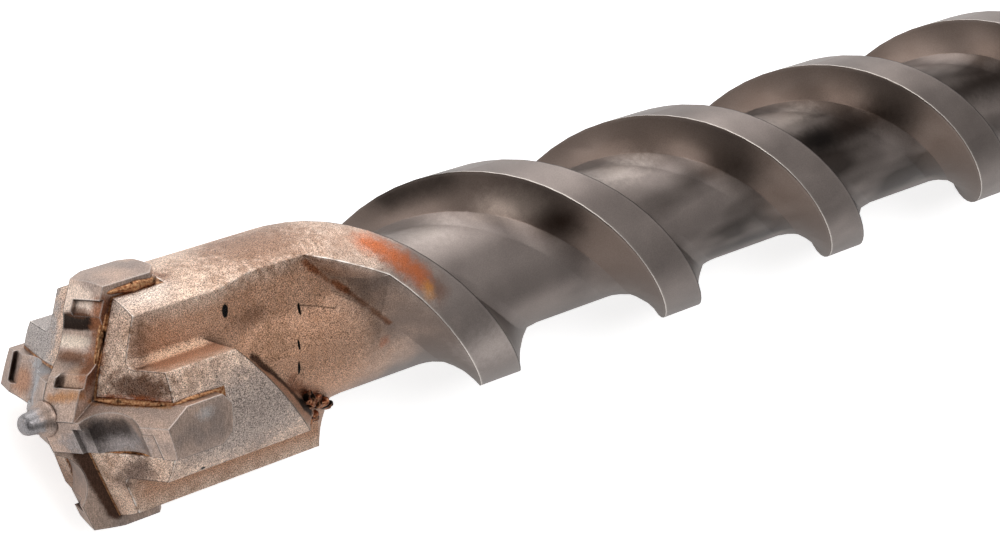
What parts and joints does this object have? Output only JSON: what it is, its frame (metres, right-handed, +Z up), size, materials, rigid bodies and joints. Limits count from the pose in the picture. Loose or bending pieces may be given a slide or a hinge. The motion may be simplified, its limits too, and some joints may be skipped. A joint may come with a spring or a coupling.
{
  "type": "hammer drill bit",
  "caption": "Masonry hammer drill bit with a cross-shaped carbide head, square-cut chip gullets, deep helical flutes and a grooved round drive shank.",
  "frame": {"origin": "centre of the flat rear end of the shank, on the bit's axis", "axes": "+X along the bit's axis from the shank to the tip, +Z up as the bit lies on a level surface"},
  "size_m": [0.21, 0.0144, 0.0144],
  "materials": {
    "steel_body": "satin flutes, shot-blasted head with a faint bronze tint",
    "carbide_cutter": "smooth ground tungsten carbide",
    "braze_filler": "rough brazed fillet"
  },
  "bodies": {
    "root": {"steel_body": "steel_body", "carbide_cutter": "carbide_cutter", "braze_filler": "braze_filler"}
  },
  "joints": []
}
